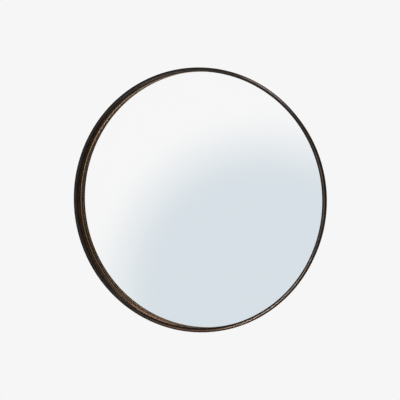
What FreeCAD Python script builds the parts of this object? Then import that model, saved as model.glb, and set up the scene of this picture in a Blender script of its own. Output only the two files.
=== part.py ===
import FreeCAD, Part
import math
import os

# A round wall mirror: the glass is set deep behind a slim dark bronze rim.
# The origin is the centre of the face that rests on the wall, +Z is up, and the glass faces -Y.

# Rim: a half-round bar bent into a ring, the front edge of the frame
mirror_diameter = 610.0
bezel_width = 9.5
bezel_edge = 1.2
bezel_crown = 3.4

# Band: a rolled strip behind the rim, the inside wall of the frame, with a step that faces the glass
band_thickness = 1.5
band_step = 0.3
band_step_depth = 14.5
glass_recess = 30.0

# Rear ring: a flat ring welded to the band, which carries everything behind the glass
rear_ring_thickness = 2.0
rear_ring_width = 34.5
rear_ring_inset = 0.5

# Glass with its safety film, and the blocks that centre it in the band
glass_thickness = 4.0
glass_gap = 0.3
glass_seam = 0.2
film_thickness = 0.25
film_margin = 2.0
block_count = 4
block_length = 25.0
block_fit = 0.05

# Glazing bead: a sprung split ring of flat strip in the corner of band and glass
bead_thickness = 1.2
bead_depth = 3.5
bead_fit = 0.05
bead_split = 3.0

# Glazing tape under the edge of the glass, and the foam pad inside the rear ring
tape_thickness = 1.0
tape_width = 8.5
tape_margin = 1.5
pad_clearance = 1.0

# Back panel and the screws and washers around its edge
panel_thickness = 9.0
panel_margin = 6.5
panel_chamfer = 1.0
panel_screw_count = 8
panel_screw_diameter = 4.0
panel_screw_margin = 10.0
panel_hole_clearance = 0.25
panel_head_diameter = 7.6
panel_head_height = 2.4
washer_diameter = 10.0
washer_thickness = 0.8
thread_fit = 0.05
tip_clearance = 0.3

# Spacer ring that holds the mirror off the wall, with its screws
spacer_thickness = 8.0
spacer_width = 35.0
spacer_margin = 20.0
spacer_chamfer = 1.0
spacer_screw_count = 6
spacer_screw_diameter = 3.5
spacer_screw_length = 14.0
spacer_head_diameter = 7.0
spacer_head_height = 2.2
spacer_head_depth = 0.2
wood_fit = 0.05

# Felt ring between the spacer and the wall
felt_thickness = 1.5
felt_margin = 3.0

# Two hangers: a folded strap, its two screws and a ring that swings in the fold
hanger_angle = 49.0
hanger_clearance = 3.0
strap_sheet = 1.0
strap_width = 14.0
strap_length = 40.0
hanger_screw_first = 10.0
hanger_screw_pitch = 22.0
hanger_screw_diameter = 3.5
hanger_screw_bite = 7.5
hanger_hole_clearance = 0.25
hanger_head_diameter = 6.8
hanger_head_height = 2.0
ring_wire = 3.2
ring_span = 24.0
ring_reach = 20.0
ring_corner = 3.0
ring_split = 0.6
ring_bore_clearance = 0.3
ring_rest_clearance = 0.3

# Cross recess in the pan heads
recess_length_share = 0.62
recess_width_share = 0.17
recess_depth_share = 0.5

# One overrun serves all cuts
overrun = 1.0

FRONT = FreeCAD.Vector(0, -1, 0)
BACK = FreeCAD.Vector(0, 1, 0)
SIDE = FreeCAD.Vector(1, 0, 0)
CENTRE = FreeCAD.Vector(0, 0, 0)

# Depths, stacked forward from the wall
wall = 0.0
felt_front = wall - felt_thickness
panel_back = felt_front - spacer_thickness
panel_front = panel_back - panel_thickness
rear_ring_front = panel_front - rear_ring_thickness
film_back = rear_ring_front - tape_thickness
glass_back = film_back - film_thickness
glass_front = glass_back - glass_thickness
bezel_front = glass_front - glass_recess
bezel_back = bezel_front + bezel_edge + bezel_crown
band_step_face = bezel_front + band_step_depth

# Radii, stepped inwards from the rim
bezel_radius = mirror_diameter / 2
opening_radius = bezel_radius - bezel_width
wall_radius = opening_radius + band_step
band_radius = opening_radius + band_thickness
glass_radius = opening_radius - glass_gap
rear_ring_radius = band_radius - rear_ring_inset
rear_opening_radius = rear_ring_radius - rear_ring_width
panel_radius = rear_ring_radius - panel_margin
panel_screw_radius = panel_radius - panel_screw_margin
spacer_radius = panel_radius - spacer_margin
spacer_opening_radius = spacer_radius - spacer_width

# Where the patterns of screws and blocks begin, so that they stay out of each other's way
panel_screw_start = 180.0 / panel_screw_count
spacer_screw_start = 180.0 / spacer_screw_count
block_start = 180.0 / block_count

# Depths of the spacer's countersunk screws
spacer_screw_circle = (spacer_radius + spacer_opening_radius) / 2
spacer_head_back = felt_front - spacer_head_depth
spacer_head_front = spacer_head_back - spacer_head_height
spacer_screw_tip = spacer_head_back - spacer_screw_length

# Hanger sizes that follow from the ring's wire and the strap's sheet
strap_thickness = 2 * strap_sheet
barrel_bore_radius = ring_wire / 2 + ring_bore_clearance
barrel_radius = barrel_bore_radius + strap_sheet
hinge_y = panel_back + barrel_radius
ring_sweep = ring_reach + ring_span / 2 + ring_wire / 2
hanger_radius = spacer_opening_radius - ring_sweep - hanger_clearance
hanger_half_span = hanger_radius * math.cos(math.radians(hanger_angle))
hanger_height = hanger_radius * math.sin(math.radians(hanger_angle))
rest_lift = strap_thickness + ring_rest_clearance + ring_wire / 2 - barrel_radius
ring_rest_tilt = math.degrees(math.asin(rest_lift / ring_reach))


def disc(radius, front, back):
    """A round plate about the mirror's axis, between two depths."""
    return Part.makeCylinder(radius, back - front, FreeCAD.Vector(0, front, 0), BACK)


def ring(outer, inner, front, back):
    """A flat ring about the mirror's axis, between two depths."""
    hole = disc(inner, front - overrun, back + overrun)
    return disc(outer, front, back).cut(hole)


def around(count, radius, start_degrees):
    """Evenly spaced places on a circle about the mirror's axis, as (x, z)."""
    places = []
    for index in range(count):
        angle = math.radians(start_degrees + 360.0 * index / count)
        places.append((radius * math.cos(angle), radius * math.sin(angle)))
    return places


def pin(x, z, radius, front, back):
    """A straight round pin or hole along the mirror's axis, between two depths."""
    return Part.makeCylinder(radius, back - front, FreeCAD.Vector(x, front, z), BACK)


def cone(x, z, front_radius, back_radius, front, back):
    """A tapered seat or head along the mirror's axis, between two depths."""
    place = FreeCAD.Vector(x, front, z)
    return Part.makeCone(front_radius, back_radius, back - front, place, BACK)


def circle_edges(shape, radius, depth):
    """The edges of a turned piece that are circles of this radius at this depth."""
    found = []
    for edge in shape.Edges:
        if not isinstance(edge.Curve, Part.Circle):
            continue
        same_radius = math.isclose(edge.Curve.Radius, radius, rel_tol=1e-6)
        same_depth = math.isclose(edge.Curve.Center.y, depth, rel_tol=1e-6, abs_tol=1e-6)
        if same_radius and same_depth:
            found.append(edge)
    return found


def pan_head_screw(x, z, shank_radius, head_radius, head_height, tip, seat):
    """A pan-head screw that points to the front, its head seated at one depth."""
    shank = pin(x, z, shank_radius, tip, seat)
    head_back = seat + head_height
    head = pin(x, z, head_radius, seat, head_back)
    rounding = head_height / 2
    rim = [e for e in head.Edges if math.isclose(e.BoundBox.YMin, head_back, rel_tol=1e-9)]
    head = head.makeFillet(rounding, rim)
    length = 2 * head_radius * recess_length_share
    width = 2 * head_radius * recess_width_share
    depth = head_height * recess_depth_share
    floor = head_back - depth
    for across, up in ((length, width), (width, length)):
        corner = FreeCAD.Vector(x - across / 2, floor, z - up / 2)
        head = head.cut(Part.makeBox(across, depth + overrun, up, corner))
    return shank.fuse(head).removeSplitter()


def front_bezel():
    """Half-round bar: a flat back, two short straight edges and a crowned front."""
    shoulder = bezel_back - bezel_edge
    crown_radius = (opening_radius + bezel_radius) / 2
    inner_back = FreeCAD.Vector(opening_radius, bezel_back, 0)
    inner_shoulder = FreeCAD.Vector(opening_radius, shoulder, 0)
    crown = FreeCAD.Vector(crown_radius, bezel_front, 0)
    outer_shoulder = FreeCAD.Vector(bezel_radius, shoulder, 0)
    outer_back = FreeCAD.Vector(bezel_radius, bezel_back, 0)
    outline = Part.Wire([
        Part.makeLine(inner_back, inner_shoulder),
        Part.Arc(inner_shoulder, crown, outer_shoulder).toShape(),
        Part.makeLine(outer_shoulder, outer_back),
        Part.makeLine(outer_back, inner_back),
    ])
    return Part.Face(outline).revolve(CENTRE, BACK, 360)


def frame_band():
    """The rolled strip between the rim and the rear ring, stepped out behind its front part."""
    strip = ring(band_radius, opening_radius, bezel_back, rear_ring_front)
    return strip.cut(disc(wall_radius, band_step_face, rear_ring_front + overrun))


def rear_ring():
    """The flat ring at the back of the band, tapped for the panel's screws."""
    plate = ring(rear_ring_radius, rear_opening_radius, rear_ring_front, panel_front)
    tapped_radius = panel_screw_diameter / 2 + thread_fit
    for x, z in around(panel_screw_count, panel_screw_radius, panel_screw_start):
        plate = plate.cut(pin(x, z, tapped_radius, rear_ring_front - overrun, panel_front + overrun))
    return plate


def mirror_glass():
    """A round pane with its sharp edges ground off."""
    pane = disc(glass_radius, glass_front, glass_back)
    edges = circle_edges(pane, glass_radius, glass_front) + circle_edges(pane, glass_radius, glass_back)
    return pane.makeChamfer(glass_seam, edges)


def safety_film():
    """The film on the silvered back of the glass, which holds it together if it breaks."""
    return disc(glass_radius - film_margin, glass_back, film_back)


def setting_blocks():
    """Thin curved blocks between the edge of the glass and the band."""
    inner = glass_radius + block_fit
    outer = wall_radius - block_fit
    half_angle = math.degrees(block_length / glass_radius) / 2
    blocks = []
    for index in range(block_count):
        middle = block_start + 360.0 * index / block_count
        start_x, start_z = around(1, inner, middle - half_angle)[0]
        end_x, end_z = around(1, outer, middle - half_angle)[0]
        side = Part.Face(Part.makePolygon([
            FreeCAD.Vector(start_x, glass_front, start_z),
            FreeCAD.Vector(end_x, glass_front, end_z),
            FreeCAD.Vector(end_x, glass_back, end_z),
            FreeCAD.Vector(start_x, glass_back, start_z),
            FreeCAD.Vector(start_x, glass_front, start_z),
        ]))
        blocks.append(side.revolve(CENTRE, FRONT, 2 * half_angle))
    return Part.makeCompound(blocks)


def glazing_bead():
    """Flat strip bent into a ring, open at the bottom, that keeps the glass on its seat."""
    outer = wall_radius - bead_fit
    inner = outer - bead_thickness
    back = glass_front - bead_fit
    front = back - bead_depth
    half_gap = math.degrees(bead_split / outer) / 2
    inner_x, inner_z = around(1, inner, half_gap - 90)[0]
    outer_x, outer_z = around(1, outer, half_gap - 90)[0]
    section = Part.Face(Part.makePolygon([
        FreeCAD.Vector(inner_x, front, inner_z),
        FreeCAD.Vector(outer_x, front, outer_z),
        FreeCAD.Vector(outer_x, back, outer_z),
        FreeCAD.Vector(inner_x, back, inner_z),
        FreeCAD.Vector(inner_x, front, inner_z),
    ]))
    return section.revolve(CENTRE, FRONT, 360 - 2 * half_gap)


def glazing_tape():
    """Foam tape on the rear ring, on which the edge of the glass lies."""
    outer = glass_radius - film_margin - tape_margin
    return ring(outer, outer - tape_width, film_back, rear_ring_front)


def foam_pad():
    """A foam sheet inside the rear ring, between the glass and the back panel."""
    return disc(rear_opening_radius - pad_clearance, film_back, panel_front)


def back_panel():
    """The board that closes the back, drilled for all its screws."""
    board = disc(panel_radius, panel_front, panel_back)
    board = board.makeChamfer(panel_chamfer, circle_edges(board, panel_radius, panel_back))
    clearance_radius = panel_screw_diameter / 2 + panel_hole_clearance
    for x, z in around(panel_screw_count, panel_screw_radius, panel_screw_start):
        board = board.cut(pin(x, z, clearance_radius, panel_front - overrun, panel_back + overrun))
    pilot_radius = spacer_screw_diameter / 2 + wood_fit
    for x, z in around(spacer_screw_count, spacer_screw_circle, spacer_screw_start):
        board = board.cut(pin(x, z, pilot_radius, spacer_screw_tip - tip_clearance, panel_back + overrun))
    pilot_radius = hanger_screw_diameter / 2 + wood_fit
    pilot_front = panel_back - hanger_screw_bite - tip_clearance
    for x, z in hanger_screw_places():
        board = board.cut(pin(x, z, pilot_radius, pilot_front, panel_back + overrun))
    return board


def panel_screws():
    """The screws through the panel into the rear ring."""
    seat = panel_back + washer_thickness
    tip = rear_ring_front + tip_clearance
    screws = []
    for x, z in around(panel_screw_count, panel_screw_radius, panel_screw_start):
        screws.append(pan_head_screw(
            x, z, panel_screw_diameter / 2, panel_head_diameter / 2, panel_head_height, tip, seat))
    return Part.makeCompound(screws)


def panel_washers():
    """A flat washer under each head on the panel."""
    hole_radius = panel_screw_diameter / 2 + panel_hole_clearance
    seat = panel_back + washer_thickness
    washers = []
    for x, z in around(panel_screw_count, panel_screw_radius, panel_screw_start):
        plate = pin(x, z, washer_diameter / 2, panel_back, seat)
        washers.append(plate.cut(pin(x, z, hole_radius, panel_back - overrun, seat + overrun)))
    return Part.makeCompound(washers)


def spacer_ring():
    """The ring on the panel's back that stands on the wall, with countersunk holes."""
    plate = ring(spacer_radius, spacer_opening_radius, panel_back, felt_front)
    edges = circle_edges(plate, spacer_radius, felt_front)
    edges += circle_edges(plate, spacer_opening_radius, felt_front)
    plate = plate.makeChamfer(spacer_chamfer, edges)
    hole_radius = spacer_screw_diameter / 2 + wood_fit
    head_radius = spacer_head_diameter / 2 + wood_fit
    for x, z in around(spacer_screw_count, spacer_screw_circle, spacer_screw_start):
        plate = plate.cut(pin(x, z, hole_radius, panel_back - overrun, felt_front))
        plate = plate.cut(pin(x, z, head_radius, spacer_head_back, felt_front + overrun))
        plate = plate.cut(cone(x, z, hole_radius, head_radius, spacer_head_front, spacer_head_back))
    return plate


def spacer_screws():
    """Countersunk screws that hold the spacer to the panel."""
    shank_radius = spacer_screw_diameter / 2
    head_radius = spacer_head_diameter / 2
    screws = []
    for x, z in around(spacer_screw_count, spacer_screw_circle, spacer_screw_start):
        shank = pin(x, z, shank_radius, spacer_screw_tip, spacer_head_front)
        head = cone(x, z, shank_radius, head_radius, spacer_head_front, spacer_head_back)
        screws.append(shank.fuse(head).removeSplitter())
    return Part.makeCompound(screws)


def wall_felt():
    """A felt ring on the spacer, the face that rests on the wall."""
    outer = spacer_radius - felt_margin
    inner = spacer_opening_radius + felt_margin
    return ring(outer, inner, felt_front, wall)


def hanger_screw_places():
    """The places of the hanger screws, two below each hinge, as (x, z)."""
    places = []
    for hanger_x in (-hanger_half_span, hanger_half_span):
        for step in (0, 1):
            drop = hanger_screw_first + step * hanger_screw_pitch
            places.append((hanger_x, hanger_height - drop))
    return places


def hanger_strap(hanger_x):
    """Sheet folded round the ring's bar, its two layers laid flat on the panel."""
    half_width = strap_width / 2
    strap_back = panel_back + strap_thickness
    end_z = hanger_height - strap_length + half_width
    top = Part.makeBox(
        strap_width, strap_thickness, hanger_height - end_z,
        FreeCAD.Vector(hanger_x - half_width, panel_back, end_z))
    rounded_end = pin(hanger_x, end_z, half_width, panel_back, strap_back)
    barrel_start = FreeCAD.Vector(hanger_x - half_width, hinge_y, hanger_height)
    barrel = Part.makeCylinder(barrel_radius, strap_width, barrel_start, SIDE)
    bore_start = barrel_start - SIDE * overrun
    bore = Part.makeCylinder(barrel_bore_radius, strap_width + 2 * overrun, bore_start, SIDE)
    strap = top.fuse([rounded_end, barrel]).removeSplitter().cut(bore)
    hole_radius = hanger_screw_diameter / 2 + hanger_hole_clearance
    for x, z in hanger_screw_places():
        strap = strap.cut(pin(x, z, hole_radius, panel_back - overrun, strap_back + overrun))
    return strap


def hanger_screws():
    """Pan-head wood screws through the straps into the panel."""
    seat = panel_back + strap_thickness
    tip = panel_back - hanger_screw_bite
    screws = []
    for x, z in hanger_screw_places():
        screws.append(pan_head_screw(
            x, z, hanger_screw_diameter / 2, hanger_head_diameter / 2, hanger_head_height, tip, seat))
    return Part.makeCompound(screws)


def d_ring(hanger_x):
    """Round wire bent to a D, split in its straight bar, hanging from the strap's fold."""
    half = ring_span / 2
    bend = ring_corner
    bend_middle = bend * (1 - math.sqrt(0.5))
    leg_end = half - ring_reach

    def point(x, z):
        return FreeCAD.Vector(x, 0, z)

    right_bend = Part.Arc(
        point(half - bend, 0), point(half - bend_middle, -bend_middle), point(half, -bend))
    left_bend = Part.Arc(
        point(-half, -bend), point(bend_middle - half, -bend_middle), point(bend - half, 0))
    path = Part.Wire([
        Part.makeLine(point(ring_split / 2, 0), point(half - bend, 0)),
        right_bend.toShape(),
        Part.makeLine(point(half, -bend), point(half, leg_end)),
        Part.Arc(point(half, leg_end), point(0, -ring_reach), point(-half, leg_end)).toShape(),
        Part.makeLine(point(-half, leg_end), point(-half, -bend)),
        left_bend.toShape(),
        Part.makeLine(point(bend - half, 0), point(-ring_split / 2, 0)),
    ])
    section = Part.Wire(Part.makeCircle(ring_wire / 2, point(ring_split / 2, 0), SIDE))
    wire = path.makePipeShell([section], True, False)
    wire.rotate(CENTRE, SIDE, ring_rest_tilt)
    wire.translate(FreeCAD.Vector(hanger_x, hinge_y, hanger_height))
    return wire


pieces = {
    "front_bezel": front_bezel(),
    "frame_band": frame_band(),
    "rear_ring": rear_ring(),
    "glazing_bead": glazing_bead(),
    "mirror_glass": mirror_glass(),
    "safety_film": safety_film(),
    "setting_blocks": setting_blocks(),
    "glazing_tape": glazing_tape(),
    "foam_pad": foam_pad(),
    "back_panel": back_panel(),
    "panel_washers": panel_washers(),
    "panel_screws": panel_screws(),
    "spacer_ring": spacer_ring(),
    "spacer_screws": spacer_screws(),
    "wall_felt": wall_felt(),
    "hanger_strap_left": hanger_strap(-hanger_half_span),
    "hanger_strap_right": hanger_strap(hanger_half_span),
    "hanger_screws": hanger_screws(),
    "d_ring_left": d_ring(-hanger_half_span),
    "d_ring_right": d_ring(hanger_half_span),
}

os.makedirs("parts", exist_ok=True)
for name, shape in pieces.items():
    shape.exportStep("parts/" + name + ".step")
    print(name, len(shape.Solids), shape.isValid(), round(shape.Volume, 1))
print("hinge at y", round(hinge_y, 4), "rest tilt", round(ring_rest_tilt, 4))
print("front at", round(bezel_front, 4))
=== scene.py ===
import math

import bmesh
import bpy
from mathutils import Matrix, Vector, noise


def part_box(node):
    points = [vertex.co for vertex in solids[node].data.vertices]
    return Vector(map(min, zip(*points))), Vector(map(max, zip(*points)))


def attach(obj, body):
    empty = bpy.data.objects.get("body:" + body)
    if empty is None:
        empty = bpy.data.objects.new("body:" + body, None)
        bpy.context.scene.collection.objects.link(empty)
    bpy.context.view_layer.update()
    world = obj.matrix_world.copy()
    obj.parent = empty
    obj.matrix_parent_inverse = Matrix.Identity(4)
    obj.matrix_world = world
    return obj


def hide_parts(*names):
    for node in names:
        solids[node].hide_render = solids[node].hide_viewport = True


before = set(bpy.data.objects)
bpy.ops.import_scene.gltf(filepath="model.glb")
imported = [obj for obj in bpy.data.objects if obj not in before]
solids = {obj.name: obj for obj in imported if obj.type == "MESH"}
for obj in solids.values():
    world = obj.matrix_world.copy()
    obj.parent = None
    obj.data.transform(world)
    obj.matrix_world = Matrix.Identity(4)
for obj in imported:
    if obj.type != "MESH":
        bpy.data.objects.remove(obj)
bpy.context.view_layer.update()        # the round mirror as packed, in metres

# Front rim
# A half-round brass bar, bent into a ring and welded to the front of the band.
# It is patinated to a dark bronze, brushed round the ring and waxed; its crown is rubbed a little lighter.
rim_low, rim_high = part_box("front_bezel")
rim_front = rim_low.y
rim_back = rim_high.y
rim_radius = max(rim_high.x, rim_high.z)
rim_width = 0.0095
rim_edge = 0.0012
rim_corner = 0.0003
opening_radius = rim_radius - rim_width
turning_steps = 400


def linear(code):
    """The linear colour of an sRGB hex value."""
    channels = [int(code[i:i + 2], 16) / 255 for i in (1, 3, 5)]
    return [c / 12.92 if c <= 0.04045 else ((c + 0.055) / 1.055) ** 2.4 for c in channels] + [1.0]


def node(tree, kind, inputs=None, **settings):
    """Add a node with its settings; each input is set, or linked where a socket is given."""
    made = tree.nodes.new("ShaderNode" + kind)
    for name, value in settings.items():
        setattr(made, name, value)
    for socket, value in (inputs or {}).items():
        if isinstance(value, bpy.types.NodeSocket):
            tree.links.new(value, made.inputs[socket])
        else:
            made.inputs[socket].default_value = value
    return made


def bare_material(name):
    """A material with an empty node tree."""
    material = bpy.data.materials.new(name)
    material.use_nodes = True
    material.node_tree.nodes.clear()
    return material, material.node_tree


def made_piece(name, points, faces, material, sharp=35.0):
    """A mesh piece, smooth except at edges sharper than this many degrees."""
    mesh = bpy.data.meshes.new(name)
    mesh.from_pydata(points, [], faces)
    shape = bmesh.new()
    shape.from_mesh(mesh)
    bmesh.ops.recalc_face_normals(shape, faces=shape.faces)
    shape.to_mesh(mesh)
    shape.free()
    mesh.shade_smooth()
    mesh.set_sharp_from_angle(angle=math.radians(sharp))
    mesh.materials.append(material)
    piece = bpy.data.objects.new(name, mesh)
    bpy.context.scene.collection.objects.link(piece)
    return piece


def unroll(piece, outline):
    """A texture map for a turned ring: its surface unrolled and laid in strips, one above the other."""
    mesh = piece.data
    count = len(outline)
    lengths = [0.0]
    for index, corner in enumerate(outline):
        lengths.append(lengths[-1] + (Vector(outline[(index + 1) % count]) - Vector(corner)).length)
    strips = max(1, round(math.sqrt(2 * math.pi * outline[0][0] / lengths[-1])))
    run = math.ceil(turning_steps / strips)
    gap = 0.04
    layer = mesh.uv_layers.new(name="OFBake")
    for face in mesh.polygons:
        stations = [vertex // count for vertex in face.vertices]
        sides = [vertex % count for vertex in face.vertices]
        if max(stations) - min(stations) > 1:
            stations = [station or turning_steps for station in stations]
        if max(sides) - min(sides) > 1:
            sides = [side or count for side in sides]
        strip = min(min(stations), turning_steps - 1) // run
        for corner, station, side in zip(face.loop_indices, stations, sides):
            height = gap + (1 - 2 * gap) * lengths[side] / lengths[-1]
            layer.uv[corner].vector = ((station - strip * run) / run, (strip + height) / strips)


def turned(name, outline, material, disc=False, start=0.0, turn=2 * math.pi, sharp=35.0):
    """A piece turned round the mirror's axis from an outline of (radius, depth) points.

    A ring's outline is closed. A disc's outline runs from face to face, and both faces are filled.
    """
    whole = math.isclose(turn, 2 * math.pi)
    stations = turning_steps if whole else turning_steps + 1
    count = len(outline)
    points = []
    for k in range(stations):
        angle = start + turn * k / turning_steps
        for radius, depth in outline:
            points.append((radius * math.cos(angle), depth, radius * math.sin(angle)))
    faces = []
    for k in range(turning_steps):
        near = k * count
        far = (k + 1) % stations * count
        for j in range(count - 1 if disc else count):
            after = (j + 1) % count
            faces.append((near + j, near + after, far + after, far + j))
    if disc:
        faces.append([k * count for k in range(stations)])
        faces.append([k * count + count - 1 for k in range(stations)])
    if not whole:
        faces.append(list(range(count)))
        faces.append(list(range(turning_steps * count, turning_steps * count + count)))
    piece = made_piece(name, points, faces, material, sharp)
    if not disc:
        unroll(piece, outline)
    return piece


def rounded(corners, radius, steps=4):
    """A closed outline of straight sides with each corner rounded, as (radius, depth) points."""
    outline = []
    for index, corner in enumerate(corners):
        here = Vector(corner)
        before = (Vector(corners[index - 1]) - here).normalized()
        after = (Vector(corners[(index + 1) % len(corners)]) - here).normalized()
        for step in range(steps + 1):
            share = step / steps
            bend = before * (1 - share) ** 2 + after * share ** 2
            outline.append(tuple(here + bend * radius))
    return outline


def round_the_ring(tree, mark_width, mark_turns):
    """Places for marks that run round the ring: fine across it, drawn out along it."""
    place = node(tree, "TexCoord").outputs["Object"]
    flat = node(tree, "VectorMath", {0: place, 1: (1, 0, 1)}, operation="MULTIPLY").outputs[0]
    radius = node(tree, "VectorMath", {0: flat}, operation="LENGTH").outputs["Value"]
    turn = node(tree, "VectorMath", {0: flat}, operation="NORMALIZE").outputs[0]
    depth = node(tree, "SeparateXYZ", {0: place}).outputs["Y"]
    across = node(tree, "Math", {0: radius, 1: depth}, operation="ADD").outputs[0]
    mark = node(tree, "Math", {0: across, 1: mark_width}, operation="DIVIDE").outputs[0]
    step = node(tree, "CombineXYZ", {"Y": mark}).outputs[0]
    marks = node(tree, "VectorMath", {
        0: turn, 1: (mark_turns,) * 3, 2: step}, operation="MULTIPLY_ADD").outputs[0]
    return place, radius, depth, marks


# Patinated bronze: brass darkened in a bath, brushed round the ring and waxed.
# The eye sees brown near to black, with fine marks along the ring, cloudy patches and lighter rubbed metal;
# on the band's step and the bead's edge that lighter colour is a painted highlight.
# Real brush marks are a tenth of this width, too fine to show.
brush_mark = 0.0006
brush_turns = 5.0
patina_cloud = 0.024


def patinated_bronze(name, dark, brown, wear_and_highlight_colour, glance, matt, wear_and_highlight_radius, wear_and_highlight_depth, wear_and_highlight_reach, wear_and_highlight_most):
    """Dark bronze, lighter inside one radius and near one depth: rubbed metal on the rim, and a painted
    highlight on the band's step and the bead's rubbed edge.

    Glance is its colour seen from low along the surface.
    """
    polish = 0.12
    material, tree = bare_material(name)
    place, radius, depth, marks_at = round_the_ring(tree, brush_mark, brush_turns)
    marks = node(tree, "TexNoise", {"Vector": marks_at, "Scale": 1.0, "Detail": 3.0}).outputs[0]
    clouds = node(tree, "TexNoise", {"Vector": place, "Scale": 1 / patina_cloud, "Detail": 2.0}).outputs[0]
    both = node(tree, "Math", {0: marks, 1: clouds}, operation="ADD").outputs[0]
    tone = node(tree, "MapRange", {0: both, 1: 0.75, 2: 1.25}).outputs[0]
    patina = node(tree, "Mix", {0: tone, 6: linear(dark), 7: linear(brown)}, data_type="RGBA").outputs[2]
    apart = node(tree, "Math", {0: depth, 1: wear_and_highlight_depth}, operation="SUBTRACT").outputs[0]
    apart = node(tree, "Math", {0: apart}, operation="ABSOLUTE").outputs[0]
    near = node(tree, "MapRange", {
        0: apart, 1: 0.0, 2: wear_and_highlight_reach, 3: wear_and_highlight_most, 4: 0.0}, interpolation_type="SMOOTHSTEP").outputs[0]
    patchy = node(tree, "MapRange", {0: both, 1: 0.8, 2: 1.2, 3: 0.75, 4: 1.0}).outputs[0]
    inside = node(tree, "Math", {0: radius, 1: wear_and_highlight_radius}, operation="LESS_THAN").outputs[0]
    patchy = node(tree, "Math", {0: patchy, 1: inside}, operation="MULTIPLY").outputs[0]
    # The lighter colour near one depth is rubbed wear on the rim and a painted highlight on the band's step
    # and the bead's edge.
    wear_and_highlight = node(tree, "Math", {0: near, 1: patchy}, operation="MULTIPLY").outputs[0]
    colour = node(tree, "Mix", {0: wear_and_highlight, 6: patina, 7: linear(wear_and_highlight_colour)}, data_type="RGBA").outputs[2]
    rough = node(tree, "MapRange", {0: both, 1: 0.7, 2: 1.3, 3: matt, 4: matt - polish}).outputs[0]
    bump = node(tree, "Bump", {"Strength": 0.08, "Distance": 0.00005, "Height": marks}).outputs[0]
    brush = node(tree, "Tangent", direction_type="RADIAL", axis="Y").outputs[0]
    shader = node(tree, "BsdfPrincipled", {
        "Base Color": colour, "Metallic": 1.0, "Roughness": rough, "Normal": bump,
        "Specular Tint": linear(glance), "Anisotropic": 0.5, "Anisotropic Rotation": 0.25, "Tangent": brush})
    node(tree, "OutputMaterial", {0: shader.outputs[0]})
    return material


rim_bronze = patinated_bronze(
    "patinated_bronze", dark="#1D1917", brown="#2E2824", wear_and_highlight_colour="#4A413A", glance="#4E4743", matt=0.38,
    wear_and_highlight_radius=rim_radius, wear_and_highlight_depth=rim_front, wear_and_highlight_reach=0.0010, wear_and_highlight_most=0.4)

rim_shoulder = rim_back - rim_edge
rim_middle = rim_radius - rim_width / 2
rim_crown = rim_shoulder - rim_front
bar_radius = (rim_width ** 2 / 4 + rim_crown ** 2) / (2 * rim_crown)
bar_half_angle = math.asin(rim_width / 2 / bar_radius)
crown_steps = 28
rim_outline = []
for step in range(crown_steps + 1):
    lean = bar_half_angle * (1 - 2 * step / crown_steps)
    across = bar_radius * math.sin(lean)
    fall = bar_radius * (1 - math.cos(lean))
    rim_outline.append((rim_middle + across, rim_front + fall))
rim_outline += [
    (opening_radius, rim_back - rim_corner),
    (opening_radius + rim_corner, rim_back),
    (rim_radius - rim_corner, rim_back),
    (rim_radius, rim_back - rim_corner),
]
rim = turned("rim_bar", rim_outline, rim_bronze)
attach(rim, "mirror")
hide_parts("front_bezel")

# Band
# A brass strip rolled into a hoop behind the rim, the deep inside wall that the glass mirrors.
# It has the rim's patina; behind its front part it steps out, and the step's face, toward the glass, is
# painted pale brass: a painted highlight, the second light line that the glass shows.
band_low, band_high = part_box("frame_band")
band_front = band_low.y
band_back = band_high.y
band_radius = max(band_high.x, band_high.z)
band_step = 0.0003
band_step_depth = 0.0145
wall_radius = opening_radius + band_step
step_face = rim_front + band_step_depth
step_corner = 0.0001
# The pale colour at the step's face is a painted highlight.
band_bronze = patinated_bronze(
    "patinated_bronze_strip", dark="#2A221E", brown="#40352D", wear_and_highlight_colour="#CDB792", glance="#B4AAA2", matt=0.44,
    wear_and_highlight_radius=wall_radius + band_step / 2, wear_and_highlight_depth=step_face, wear_and_highlight_reach=0.0004, wear_and_highlight_most=1.0)
band_outline = [
    (opening_radius, band_front),
    (opening_radius, step_face - step_corner),
    (opening_radius + step_corner, step_face),
    (wall_radius, step_face),
    (wall_radius, band_back),
    (band_radius, band_back),
    (band_radius, band_front),
]
band = turned("frame_hoop", band_outline, band_bronze)
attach(band, "mirror")
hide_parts("frame_band")

# Rear ring
# A flat steel ring welded inside the back of the band; the glass and the back panel are fixed to it.
# It is lacquered black, and its tapped holes take the panel's screws.


def wear(node_name, material):
    """Give a solid of the frame its material."""
    solid = solids[node_name]
    solid.data.materials.clear()
    solid.data.materials.append(material)


# Black stoving lacquer on steel: an even, slightly pebbled skin with a soft gloss.
lacquer_pebble = 0.0011
lacquer_haze = 0.05
black_lacquer, tree = bare_material("black_lacquer_on_steel")
place = node(tree, "TexCoord").outputs["Object"]
pebble = node(tree, "TexNoise", {"Vector": place, "Scale": 1 / lacquer_pebble, "Detail": 2.0}).outputs[0]
haze = node(tree, "TexNoise", {"Vector": place, "Scale": 1 / lacquer_haze, "Detail": 3.0}).outputs[0]
colour = node(tree, "Mix", {0: haze, 6: linear("#161617"), 7: linear("#242425")}, data_type="RGBA").outputs[2]
rough = node(tree, "MapRange", {0: haze, 1: 0.3, 2: 0.7, 3: 0.34, 4: 0.5}).outputs[0]
bump = node(tree, "Bump", {"Strength": 0.25, "Distance": 0.0001, "Height": pebble}).outputs[0]
shader = node(tree, "BsdfPrincipled", {"Base Color": colour, "Roughness": rough, "Normal": bump})
node(tree, "OutputMaterial", {0: shader.outputs[0]})
wear("rear_ring", black_lacquer)

# Mirror glass
# A round pane of 4 mm float glass, silvered on the back, its edges ground with a small seam.
# It lies on foam tape on the rear ring, far behind the rim.
glass_low, glass_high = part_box("mirror_glass")
glass_front = glass_low.y
glass_back = glass_high.y
glass_radius = max(glass_high.x, glass_high.z)
glass_seam = 0.0002

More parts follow.
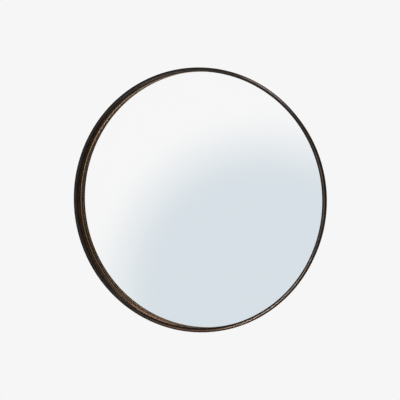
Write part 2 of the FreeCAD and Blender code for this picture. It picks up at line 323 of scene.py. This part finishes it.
# Silvered glass: a true reflection, a trace of dust that veils its dark parts, and a green-black ground edge.
dust_cloud = 0.07
ground_edge = 0.0006
silvered_glass, tree = bare_material("silvered_float_glass")
place = node(tree, "TexCoord").outputs["Object"]
dust = node(tree, "TexNoise", {"Vector": place, "Scale": 1 / dust_cloud, "Detail": 5.0}).outputs[0]
veil = node(tree, "MapRange", {0: dust, 1: 0.3, 2: 0.7, 3: 0.985, 4: 0.978}).outputs[0]
flat = node(tree, "VectorMath", {0: place, 1: (1, 0, 1)}, operation="MULTIPLY").outputs[0]
radius = node(tree, "VectorMath", {0: flat}, operation="LENGTH").outputs["Value"]
edge = node(tree, "MapRange", {
    0: radius, 1: glass_radius - ground_edge, 2: glass_radius - glass_seam}).outputs[0]
colour = node(tree, "Mix", {0: edge, 6: linear("#FCFCFC"), 7: linear("#2C3A36")}, data_type="RGBA").outputs[2]
rough = node(tree, "MapRange", {0: edge, 3: 0.0, 4: 0.4}).outputs[0]
shader = node(tree, "BsdfPrincipled", {"Base Color": colour, "Metallic": veil, "Roughness": rough})
node(tree, "OutputMaterial", {0: shader.outputs[0]})
glass_outline = [
    (glass_radius - glass_seam, glass_front),
    (glass_radius, glass_front + glass_seam),
    (glass_radius, glass_back - glass_seam),
    (glass_radius - glass_seam, glass_back),
]
glass = turned("silvered_pane", glass_outline, silvered_glass, disc=True, sharp=20.0)
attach(glass, "mirror")
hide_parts("mirror_glass")

# Setting blocks
# Four short strips of black plastic between the edge of the glass and the band.
# They are cut from sheet and pushed in, so that glass and metal never touch.

# Black cut plastic: dull black, roughened by the saw.
saw_mark = 0.0008
block_plastic, tree = bare_material("black_cut_plastic")
place = node(tree, "TexCoord").outputs["Object"]
saw = node(tree, "TexNoise", {"Vector": place, "Scale": 1 / saw_mark, "Detail": 2.0}).outputs[0]
colour = node(tree, "Mix", {0: saw, 6: linear("#1A1A1B"), 7: linear("#2B2B2C")}, data_type="RGBA").outputs[2]
bump = node(tree, "Bump", {"Strength": 0.3, "Distance": 0.0001, "Height": saw}).outputs[0]
shader = node(tree, "BsdfPrincipled", {"Base Color": colour, "Roughness": 0.55, "Normal": bump})
node(tree, "OutputMaterial", {0: shader.outputs[0]})
wear("setting_blocks", block_plastic)

# Glazing bead
# A ring of flat brass strip, split at the bottom and sprung into the corner of band and glass.
# Its front edge is rubbed bare, and its pale colour there is also a painted highlight, the light line beside
# the glass; the rest keeps its patina.
bead_thickness = 0.0012
bead_depth = 0.0035
bead_fit = 0.00005
bead_corner = 0.0001
bead_split = 0.003
bead_outer = wall_radius - bead_fit
bead_inner = bead_outer - bead_thickness
bead_back = glass_front - bead_fit
bead_front = bead_back - bead_depth
# The pale colour at the front edge is rubbed brass and also a painted highlight.
bead_bronze = patinated_bronze(
    "rubbed_patina_with_painted_highlight_on_brass_strip", dark="#2A221E", brown="#40352D", wear_and_highlight_colour="#A18F76", glance="#A79E98",
    matt=0.55, wear_and_highlight_radius=wall_radius, wear_and_highlight_depth=bead_front, wear_and_highlight_reach=0.0005, wear_and_highlight_most=1.0)
bead_outline = rounded([
    (bead_outer, bead_back), (bead_outer, bead_front), (bead_inner, bead_front), (bead_inner, bead_back)],
    bead_corner)
half_split = bead_split / bead_outer / 2
bead = turned(
    "sprung_bead", bead_outline, bead_bronze,
    start=-math.pi / 2 + half_split, turn=2 * math.pi - 2 * half_split)
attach(bead, "mirror")
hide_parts("glazing_bead")

# Safety film
# A thin grey vinyl film, stuck over the silvered back of the glass to hold it together if it breaks.
# It is rolled on, so it has long faint ripples.

# Grey vinyl film: soft pale grey with a low sheen.
film_ripple = 0.03
film_vinyl, tree = bare_material("grey_vinyl_film")
place = node(tree, "TexCoord").outputs["Object"]
ripple = node(tree, "TexNoise", {"Vector": place, "Scale": 1 / film_ripple, "Detail": 2.0}).outputs[0]
colour = node(tree, "Mix", {
    0: ripple, 6: linear("#A3A8AD"), 7: linear("#B4B8BC")}, data_type="RGBA").outputs[2]
bump = node(tree, "Bump", {"Strength": 0.2, "Distance": 0.0002, "Height": ripple}).outputs[0]
shader = node(tree, "BsdfPrincipled", {"Base Color": colour, "Roughness": 0.4, "Normal": bump})
node(tree, "OutputMaterial", {0: shader.outputs[0]})
wear("safety_film", film_vinyl)

# Glazing tape
# A strip of black closed-cell foam tape on the rear ring, under the edge of the glass.
# The glass presses it, so its edges bulge a little.
tape_low, tape_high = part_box("glazing_tape")
tape_radius = max(tape_high.x, tape_high.z)
tape_width = 0.0085
tape_bulge = 0.0004


def cell_foam(name, dark, light, cell):
    """Foam cut from a block: a matt skin of fine open cells."""
    material, tree = bare_material(name)
    place = node(tree, "TexCoord").outputs["Object"]
    cells = node(tree, "TexVoronoi", {"Vector": place, "Scale": 1 / cell}).outputs["Distance"]
    colour = node(tree, "Mix", {0: cells, 6: linear(dark), 7: linear(light)}, data_type="RGBA").outputs[2]
    bump = node(tree, "Bump", {"Strength": 0.5, "Distance": cell / 4, "Height": cells}).outputs[0]
    shader = node(tree, "BsdfPrincipled", {"Base Color": colour, "Roughness": 0.9, "Normal": bump})
    node(tree, "OutputMaterial", {0: shader.outputs[0]})
    return material


tape_foam = cell_foam("black_foam_tape", "#141415", "#2C2C2D", 0.0009)
tape_outline = rounded([
    (tape_radius, tape_low.y), (tape_radius, tape_high.y),
    (tape_radius - tape_width, tape_high.y), (tape_radius - tape_width, tape_low.y)], tape_bulge)
tape = turned("foam_strip", tape_outline, tape_foam)
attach(tape, "mirror")
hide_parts("glazing_tape")

# Foam pad
# A disc of white packing foam inside the rear ring, which presses the glass forward evenly.
# It is knife-cut, so its edge is a little rounded over.
pad_low, pad_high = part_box("foam_pad")
pad_radius = max(pad_high.x, pad_high.z)
pad_edge = 0.0010
pad_round_share = 0.3
pad_round = pad_edge * pad_round_share
pad_foam = cell_foam("white_packing_foam", "#CFCFC8", "#EDEDE8", 0.0016)
pad_outline = [
    (pad_radius - pad_edge, pad_low.y),
    (pad_radius - pad_round, pad_low.y + pad_round),
    (pad_radius, pad_low.y + pad_edge),
    (pad_radius, pad_high.y - pad_edge),
    (pad_radius - pad_round, pad_high.y - pad_round),
    (pad_radius - pad_edge, pad_high.y),
]
pad = turned("packing_pad", pad_outline, pad_foam, disc=True)
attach(pad, "mirror")
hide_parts("foam_pad")

# Back panel
# A disc of 9 mm fibreboard with its back edge chamfered, screwed to the rear ring all round.
# It closes the back and carries the spacer and the hangers.


def pressed_fibre(name, dark, light, fleck, roughness):
    """Fibreboard: fine matted fibres, cloudy shading and scattered darker flecks."""
    fibre = 0.0016
    cloud = 0.05
    cloud_share = 0.35
    fleck_space = 0.006
    material, tree = bare_material(name)
    place = node(tree, "TexCoord").outputs["Object"]
    fibres = node(tree, "TexNoise", {
        "Vector": place, "Scale": 1 / fibre, "Detail": 5.0, "Distortion": 1.6}).outputs[0]
    clouds = node(tree, "TexNoise", {"Vector": place, "Scale": 1 / cloud, "Detail": 3.0}).outputs[0]
    both = node(tree, "Math", {0: clouds, 1: cloud_share, 2: fibres}, operation="MULTIPLY_ADD").outputs[0]
    tone = node(tree, "MapRange", {0: both, 1: 0.45, 2: 0.9}).outputs[0]
    board = node(tree, "Mix", {0: tone, 6: linear(dark), 7: linear(light)}, data_type="RGBA").outputs[2]
    spots = node(tree, "TexVoronoi", {"Vector": place, "Scale": 1 / fleck_space}).outputs["Distance"]
    spot = node(tree, "MapRange", {0: spots, 1: 0.06, 2: 0.14, 3: 0.6, 4: 0.0}).outputs[0]
    colour = node(tree, "Mix", {0: spot, 6: board, 7: linear(fleck)}, data_type="RGBA").outputs[2]
    bump = node(tree, "Bump", {"Strength": 0.3, "Distance": 0.00015, "Height": fibres}).outputs[0]
    shader = node(tree, "BsdfPrincipled", {
        "Base Color": colour, "Roughness": roughness, "Normal": bump, "Specular IOR Level": 0.3})
    node(tree, "OutputMaterial", {0: shader.outputs[0]})
    return material


panel_board = pressed_fibre("brown_fibreboard", "#7A5B3D", "#A3805A", "#4A3522", 0.8)
wear("back_panel", panel_board)

# Panel washers and screws
# Eight M4 pan-head screws with flat washers hold the back panel to the tapped rear ring.
# They are bright zinc-plated steel.

# Bright zinc plate: pale grey with a soft gloss, faint crystals and cloudy patches.
zinc_crystal = 0.0022
zinc_crystal_share = 0.25
zinc_cloud = 0.012
zinc_plate, tree = bare_material("bright_zinc_plate")
place = node(tree, "TexCoord").outputs["Object"]
crystals = node(tree, "TexVoronoi", {"Vector": place, "Scale": 1 / zinc_crystal}).outputs["Color"]
clouds = node(tree, "TexNoise", {"Vector": place, "Scale": 1 / zinc_cloud, "Detail": 4.0}).outputs[0]
tone = node(tree, "Mix", {0: zinc_crystal_share, 6: clouds, 7: crystals}, data_type="RGBA").outputs[2]
colour = node(tree, "Mix", {0: tone, 6: linear("#9DA0A1"), 7: linear("#C9CBC8")}, data_type="RGBA").outputs[2]
rough = node(tree, "MapRange", {0: clouds, 1: 0.3, 2: 0.7, 3: 0.28, 4: 0.42}).outputs[0]
shader = node(tree, "BsdfPrincipled", {"Base Color": colour, "Metallic": 1.0, "Roughness": rough})
node(tree, "OutputMaterial", {0: shader.outputs[0]})
wear("panel_washers", zinc_plate)
wear("panel_screws", zinc_plate)

# Spacer ring and its screws
# A ring of 8 mm fibreboard, stained black right through and chamfered, that stands the mirror off the wall.
# Six countersunk wood screws hold it to the back panel.
spacer_board = pressed_fibre("black_stained_fibreboard", "#1B1918", "#2E2A28", "#3C3733", 0.75)
wear("spacer_ring", spacer_board)
wear("spacer_screws", zinc_plate)

# Wall felt
# A strip of charcoal wool felt, laid round on the spacer, that keeps the mirror from marking the wall.
# It is knife-cut and glued down, so its edges are fuzzy and its face a little uneven.
felt_low, felt_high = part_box("wall_felt")
felt_outer = max(felt_high.x, felt_high.z)
felt_inner = 0.238
felt_lump = 0.00018
felt_lump_size = 0.004
felt_edge = 0.0005

# Wool felt: matted fibres of light and dark grey, denser in some places than in others, with a faint bloom.
# Real wool is a tenth as fine as these fibres, too fine to show.
felt_curl = 0.005
felt_cloud = 0.016
felt_cloud_share = 0.4
wool_felt, tree = bare_material("charcoal_wool_felt")
place = node(tree, "TexCoord").outputs["Object"]
fibres = node(tree, "TexNoise", {
    "Vector": place, "Scale": 1 / felt_curl, "Detail": 8.0, "Roughness": 0.75, "Distortion": 2.5}).outputs[0]
clouds = node(tree, "TexNoise", {"Vector": place, "Scale": 1 / felt_cloud, "Detail": 3.0}).outputs[0]
both = node(tree, "Math", {0: clouds, 1: felt_cloud_share, 2: fibres}, operation="MULTIPLY_ADD").outputs[0]
tone = node(tree, "MapRange", {0: both, 1: 0.55, 2: 0.85}).outputs[0]
colour = node(tree, "Mix", {0: tone, 6: linear("#1F2022"), 7: linear("#56575A")}, data_type="RGBA").outputs[2]
bump = node(tree, "Bump", {"Strength": 0.8, "Distance": 0.0003, "Height": fibres}).outputs[0]
shader = node(tree, "BsdfPrincipled", {
    "Base Color": colour, "Roughness": 0.95, "Normal": bump, "Sheen Weight": 0.35, "Sheen Roughness": 0.5})
node(tree, "OutputMaterial", {0: shader.outputs[0]})
felt_outline = []
face_steps = 8
for step in range(face_steps + 1):
    share = step / face_steps
    across = (felt_outer - felt_inner - 2 * felt_edge) * share
    felt_outline.append((felt_outer - felt_edge - across, felt_high.y))
felt_outline += [
    (felt_inner, felt_high.y - felt_edge),
    (felt_inner, felt_low.y),
    (felt_outer, felt_low.y),
    (felt_outer, felt_high.y - felt_edge),
]
felt = turned("felt_strip", felt_outline, wool_felt, sharp=60.0)
for vertex in felt.data.vertices:
    lump = 0.5 + 0.5 * noise.noise(vertex.co / felt_lump_size)
    if vertex.co.y > felt_low.y + felt_edge:
        vertex.co.y -= felt_lump * lump
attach(felt, "mirror")
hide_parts("wall_felt")

# Hanger straps and their screws
# Each strap is a strip of 1 mm steel folded over the ring's bar, both layers held to the panel by two screws.
# Straps and screws are zinc plated.
strap_sheet = 0.001
strap_half_width = 0.007
strap_length = 0.040
fold_radius = 0.0024
fold_end = math.radians(70)
round_sweep = math.radians(86)
sheet_corner = 0.00022
panel_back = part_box("back_panel")[1].y
hinge_depth = panel_back + fold_radius + strap_sheet / 2


def swept(name, sections, material, sharp):
    """A piece drawn through a row of like sections and closed at both ends."""
    sides = len(sections[0])
    points = [point for section in sections for point in section]
    faces = []
    for index in range(len(sections) - 1):
        near = index * sides
        far = near + sides
        for side in range(sides):
            after = (side + 1) % sides
            faces.append((near + side, near + after, far + after, far + side))
    faces.append(list(range(sides)))
    faces.append(list(range(len(points) - sides, len(points))))
    return made_piece(name, points, faces, material, sharp)


def hinge_height(side):
    """The height of the ring's bar in the fold of the strap on this side."""
    strap_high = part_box("hanger_strap_" + side)[1]
    return strap_high.z - fold_radius - strap_sheet / 2


def strap_line(height):
    """The middle of the strap's sheet, as (depth, height, half width): up, over the bar and down again."""
    first = panel_back + strap_sheet / 2
    second = first + strap_sheet
    end = height - strap_length + strap_half_width
    round_end = []
    round_steps = 12
    for step in range(round_steps + 1):
        angle = round_sweep * (1 - step / round_steps)
        round_end.append((end - strap_half_width * math.sin(angle), strap_half_width * math.cos(angle)))
    line = [(first, z, half) for z, half in round_end]
    fold_steps = 20
    for step in range(fold_steps + 1):
        angle = math.pi - (math.pi + fold_end) * step / fold_steps
        depth = hinge_depth + fold_radius * math.cos(angle)
        z = height + fold_radius * math.sin(angle)
        line.append((depth, z, strap_half_width))
    depth, z, half = line[-1]
    back_radius = (depth - second) / (1 - math.cos(fold_end))
    heading = math.pi + math.pi / 2 - fold_end
    back_steps = 8
    for step in range(1, back_steps + 1):
        turn = heading + fold_end * step / back_steps
        line.append((
            depth + back_radius * (math.sin(turn) - math.sin(heading)),
            z - back_radius * (math.cos(turn) - math.cos(heading)), half))
    line += [(second, z, half) for z, half in reversed(round_end)]
    return line


def folded_strap(name, middle, height):
    """One strap: its sheet swept along its own line, with the cut edges broken."""
    line = strap_line(height)
    thick = strap_sheet / 2
    sections = []
    for index, (depth, z, half) in enumerate(line):
        before = line[max(index - 1, 0)]
        after = line[min(index + 1, len(line) - 1)]
        along = Vector((0, after[0] - before[0], after[1] - before[1])).normalized()
        out = Vector((1, 0, 0)).cross(along)
        section = []
        for across, lift in (
                (half - sheet_corner, thick), (half, thick - sheet_corner), (half, sheet_corner - thick),
                (half - sheet_corner, -thick), (sheet_corner - half, -thick), (-half, sheet_corner - thick),
                (-half, thick - sheet_corner), (sheet_corner - half, thick)):
            section.append(Vector((middle + across, depth, z)) + out * lift)
        sections.append(section)
    return swept(name, sections, zinc_plate, sharp=40.0)


for side in ("left", "right"):
    node_name = "hanger_strap_" + side
    strap_low, strap_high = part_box(node_name)
    strap_middle = (strap_low.x + strap_high.x) / 2
    strap = folded_strap("folded_strap_" + side, strap_middle, hinge_height(side))
    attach(strap, "mirror")
    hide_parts(node_name)
wear("hanger_screws", zinc_plate)

# Hanging rings
# Each is a D of 3.2 mm steel wire, bent cold, with its ends meeting in the straight bar that the strap holds.
# They swing freely in the straps and are zinc plated like them.
wire_radius = 0.0016
ring_half_span = 0.012
ring_reach = 0.020
ring_bend = 0.003
ring_split = 0.0006
ring_rest_tilt = math.radians(2.866)
wire_sides = 16


def bent_wire(x, z, radius, start, end, steps):
    """Points along a bend about a middle, from one angle to another in degrees."""
    points = []
    for step in range(steps + 1):
        angle = math.radians(start + (end - start) * step / steps)
        points.append((x + radius * math.cos(angle), z + radius * math.sin(angle)))
    return points


def ring_line():
    """The middle of the wire from one end of the split bar to the other, as (across, height)."""
    corner = ring_half_span - ring_bend
    corner_steps = 8
    bow_steps = 40
    line = [(ring_split / 2, 0.0)]
    line += bent_wire(corner, -ring_bend, ring_bend, 90, 0, corner_steps)
    line += bent_wire(0, ring_half_span - ring_reach, ring_half_span, 0, -180, bow_steps)
    line += bent_wire(-corner, -ring_bend, ring_bend, 180, 90, corner_steps)
    line.append((-ring_split / 2, 0.0))
    return line


def wire_ring(name, place):
    """One ring: round wire swept along the D, then hung in its strap."""
    line = [Vector((x, 0, z)) for x, z in ring_line()]
    side_on = Vector((0, 1, 0))
    hang = Matrix.Translation(place) @ Matrix.Rotation(ring_rest_tilt, 4, "X")
    sections = []
    for index, middle in enumerate(line):
        along = (line[min(index + 1, len(line) - 1)] - line[max(index - 1, 0)]).normalized()
        out = along.cross(side_on)
        section = []
        for side in range(wire_sides):
            angle = 2 * math.pi * side / wire_sides
            spoke = out * math.cos(angle) + side_on * math.sin(angle)
            section.append(hang @ (middle + spoke * wire_radius))
        sections.append(section)
    return swept(name, sections, zinc_plate, sharp=40.0)


for side in ("left", "right"):
    node_name = "d_ring_" + side
    ring_low, ring_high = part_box(node_name)
    hinge = Vector(((ring_low.x + ring_high.x) / 2, hinge_depth, hinge_height(side)))
    ring = wire_ring("wire_ring_" + side, hinge)
    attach(ring, "ring_" + side)
    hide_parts(node_name)

# Studio floor
# A round of pale board below the mirror, out of the camera's view, that fades into the white room.
# It has a faint grain and takes the mirror's soft shadow.
floor_height = -0.64
floor_radius = 1.5
floor_fade = 0.8
floor_sides = 96
board_grain = 0.02
floor_board, tree = bare_material("pale_studio_board")
place = node(tree, "TexCoord").outputs["Object"]
grain = node(tree, "TexNoise", {"Vector": place, "Scale": 1 / board_grain, "Detail": 4.0}).outputs[0]
colour = node(tree, "Mix", {
    0: grain, 6: linear("#EDEDEC"), 7: linear("#F4F4F3")}, data_type="RGBA").outputs[2]
shader = node(tree, "BsdfPrincipled", {"Base Color": colour, "Roughness": 0.8, "Specular IOR Level": 0.2})
clear = node(tree, "BsdfTransparent")
away = node(tree, "VectorMath", {0: place}, operation="LENGTH").outputs["Value"]
fade = node(
    tree, "MapRange", {0: away, 1: floor_fade, 2: floor_radius}, interpolation_type="SMOOTHSTEP").outputs[0]
mixed = node(tree, "MixShader", {0: fade, 1: shader.outputs[0], 2: clear.outputs[0]})
node(tree, "OutputMaterial", {0: mixed.outputs[0]})
floor_edge = []
for step in range(floor_sides):
    angle = 2 * math.pi * step / floor_sides
    floor_edge.append((floor_radius * math.cos(angle), floor_radius * math.sin(angle), 0))
floor = made_piece("studio_floor", floor_edge, [list(range(floor_sides))], floor_board)
floor.location.z = floor_height

# Camera
# A long lens far to the front, a little to the right and above, aimed at the middle of the rim.
# Its turn and rise are fitted to the outline of the rim, which shows almost no perspective.
view_turn = math.radians(17.85)
view_rise = math.radians(2.125)
view_distance = 20.0
picture_side = 400
rim_radius_pixels = 132.63
rim_middle_pixels = (198.41, 199.52)
picture_metres = picture_side * rim_radius / rim_radius_pixels
to_camera = Vector((
    math.sin(view_turn) * math.cos(view_rise),
    -math.cos(view_turn) * math.cos(view_rise),
    math.sin(view_rise)))
camera_turn = (-to_camera).to_track_quat("-Z", "Y")
camera_right = camera_turn @ Vector((1, 0, 0))
camera_up = camera_turn @ Vector((0, 1, 0))
pixel = picture_metres / picture_side
half_picture = (picture_side - 1) / 2
aim = Vector((0, rim_front, 0))
aim -= camera_right * (rim_middle_pixels[0] - half_picture) * pixel
aim += camera_up * (rim_middle_pixels[1] - half_picture) * pixel
lens = bpy.data.cameras.new("long_lens")
lens.lens = lens.sensor_width * view_distance / picture_metres
lens.clip_end = 2 * view_distance
camera = bpy.data.objects.new("long_lens", lens)
camera.location = aim + to_camera * view_distance
camera.rotation_mode = "QUATERNION"
camera.rotation_quaternion = camera_turn
bpy.context.scene.collection.objects.link(camera)
bpy.context.scene.camera = camera

# Glowing reflection card
# A large pale-blue card to the front left that glows and is seen only in reflections, so it paints the
# reflection in the glass, which shows its soft round end.
# It fades to the white of the room and, far out, to the room's pale grey, so it has no edge.
card_distance = 2.5
card_spread = 1 + card_distance / view_distance
card_side = 8.0
shown_inner = 0.240
shown_outer = 0.426
card_inner = shown_inner * card_spread
card_outer = shown_outer * card_spread
card_end = Vector((0.166, 0, -0.2315))
card_fall = math.radians(15)
dusk_start = 0.72
dusk_end = 1.7
card_run = (-math.cos(card_fall), -math.sin(card_fall), 0)
room_white = linear("#FAFAFA")
painted_reflection_blue = linear("#DAE3E9")
room_dusk = linear("#DFE4E8")
to_card = Vector((-to_camera.x, to_camera.y, -to_camera.z))
card_turn = (-to_card).to_track_quat("Z", "Y")
painted_reflection_glow, tree = bare_material("glowing_pale_blue_reflection")
place = node(tree, "TexCoord").outputs["Object"]
along = node(tree, "VectorMath", {0: place, 1: card_run}, operation="DOT_PRODUCT").outputs["Value"]
reach = node(tree, "Math", {0: along, 1: 0.0}, operation="MAXIMUM").outputs[0]
nearest = node(tree, "VectorMath", {0: card_run, "Scale": reach}, operation="SCALE").outputs[0]
away = node(tree, "VectorMath", {0: place, 1: nearest}, operation="DISTANCE").outputs["Value"]
fade = node(
    tree, "MapRange", {0: away, 1: card_inner, 2: card_outer}, interpolation_type="SMOOTHSTEP").outputs[0]
near_glow = node(tree, "Mix", {0: fade, 6: painted_reflection_blue, 7: room_white}, data_type="RGBA").outputs[2]
dusk = node(
    tree, "MapRange", {0: away, 1: dusk_start, 2: dusk_end}, interpolation_type="SMOOTHSTEP").outputs[0]
colour = node(tree, "Mix", {0: dusk, 6: near_glow, 7: room_dusk}, data_type="RGBA").outputs[2]
# The card's glow is a painted reflection: pale blue near its round end, then white, then pale grey.
glow = node(tree, "Emission", {"Color": colour, "Strength": 1.0})
node(tree, "OutputMaterial", {0: glow.outputs[0]})
half = card_side / 2
reflection_card = made_piece(
    "glowing_reflection_card", [(-half, -half, 0), (half, -half, 0), (half, half, 0), (-half, half, 0)],
    [(0, 1, 2, 3)], painted_reflection_glow)
reflection_card.rotation_mode = "QUATERNION"
reflection_card.rotation_quaternion = card_turn
reflection_card.location = card_end + Vector((0, glass_front, 0)) + to_card * card_distance
for kind in ("camera", "diffuse", "transmission", "volume_scatter", "shadow"):
    setattr(reflection_card, "visible_" + kind, False)

# Studio room
# An empty room with the same light from all sides.
# It is white for the camera, pale grey for what metal and glass show, and a softer white where it lights.
room = bpy.data.worlds.new("white_room")
room.use_nodes = True
tree = room.node_tree
tree.nodes.clear()
background_white = linear("#F6F6F6")
room_shade = linear("#DCDCDC")
path = node(tree, "LightPath")
shining = node(tree, "Math", {
    0: path.outputs["Is Glossy Ray"], 1: path.outputs["Is Transmission Ray"]}, operation="MAXIMUM").outputs[0]
shone = node(tree, "Mix", {0: shining, 6: room_shade, 7: room_dusk}, data_type="RGBA").outputs[2]
seen = node(tree, "Mix", {
    0: path.outputs["Is Camera Ray"], 6: shone, 7: background_white}, data_type="RGBA").outputs[2]
glow = node(tree, "Background", {"Color": seen, "Strength": 1.0})
node(tree, "OutputWorld", {0: glow.outputs[0]})
bpy.context.scene.world = room

# Lamps
# A soft box above gives the shadow on the floor and lights everything.
# Seven small ones draw the light lines along the rim, the inside wall and the bead.
# They shine on these pieces only, so that the glass doesn't show them.


def soft_box(name, place, aim, along, sides, power, tint, beam, shines_on=(), stopped_by=()):
    """A lamp with a rectangular face, its first side along a direction.

    Where no piece is named it shines on everything, and everything stops it.
    """
    lamp = bpy.data.lights.new(name, "AREA")
    lamp.shape = "RECTANGLE"
    lamp.size, lamp.size_y = sides
    lamp.energy = power
    lamp.color = linear(tint)[:3]
    lamp.spread = math.radians(beam)
    back = (Vector(place) - Vector(aim)).normalized()
    up = back.cross(Vector(along)).normalized()
    box = bpy.data.objects.new(name, lamp)
    box.matrix_world = Matrix.Translation(place) @ Matrix((up.cross(back), up, back)).transposed().to_4x4()
    bpy.context.scene.collection.objects.link(box)
    if shines_on:
        box.light_linking.receiver_collection = bpy.data.collections.new(name + "_shines_on")
        for piece in shines_on:
            box.light_linking.receiver_collection.objects.link(piece)
    if stopped_by:
        box.light_linking.blocker_collection = bpy.data.collections.new(name + "_stopped_by")
        for piece in stopped_by:
            box.light_linking.blocker_collection.objects.link(piece)


level = (1.0, 0.0, 0.0)
upright = (0.0, 0.0, 1.0)
leaning = (0.4, 0.0, 0.9)
soft_box(
    "high_box", place=(-0.2, 0.6, 1.6), aim=(0.0, 0.0, 0.0), along=level,
    sides=(0.8, 0.8), power=8.0, tint="#FFFFFF", beam=180)
soft_box(
    "rim_box", place=(0.27, -0.38, 0.66), aim=(0.16, -0.05, 0.26), along=level,
    sides=(0.3, 0.3), power=0.7, tint="#F2F3FF", beam=56, shines_on=(rim, band))
soft_box(
    "rim_strip", place=(0.07, -0.55, -0.36), aim=(0.19, -0.05, -0.23), along=leaning,
    sides=(0.40, 0.03), power=0.55, tint="#FFFCF8", beam=60, shines_on=(rim,))
soft_box(
    "left_glow", place=(-0.11, -0.20, 0.03), aim=(-0.10, -0.05, 0.28), along=level,
    sides=(0.2, 0.2), power=0.08, tint="#FFFFFF", beam=60, shines_on=(rim,))
soft_box(
    "right_glow", place=(0.36, -0.45, 0.05), aim=(0.30, -0.05, 0.05), along=upright,
    sides=(0.3, 0.1), power=0.08, tint="#FFEEDD", beam=60, shines_on=(rim,))
soft_box(
    "floor_glow", place=(-0.12, -0.40, -0.42), aim=(0.0, -0.05, -0.30), along=level,
    sides=(0.3, 0.2), power=0.22, tint="#FFBE98", beam=70, shines_on=(rim,))
soft_box(
    "bead_low_box", place=(0.25, -0.55, -0.55), aim=(-0.2, -0.03, 0.15), along=level,
    sides=(0.4, 0.3), power=12.0, tint="#FFFFFF", beam=120, shines_on=(bead,))
# The light that the glass throws back on the wall: this lamp stands where the glass would show one in front,
# and only the floor stops it.
soft_box(
    "glass_glow", place=(-0.224, 0.52, -0.101), aim=(-0.134, -0.05, -0.263), along=level,
    sides=(0.12, 0.12), power=0.045, tint="#FFE0CC", beam=30, shines_on=(band,), stopped_by=(floor,))

bpy.context.scene.view_settings.view_transform = "Standard"
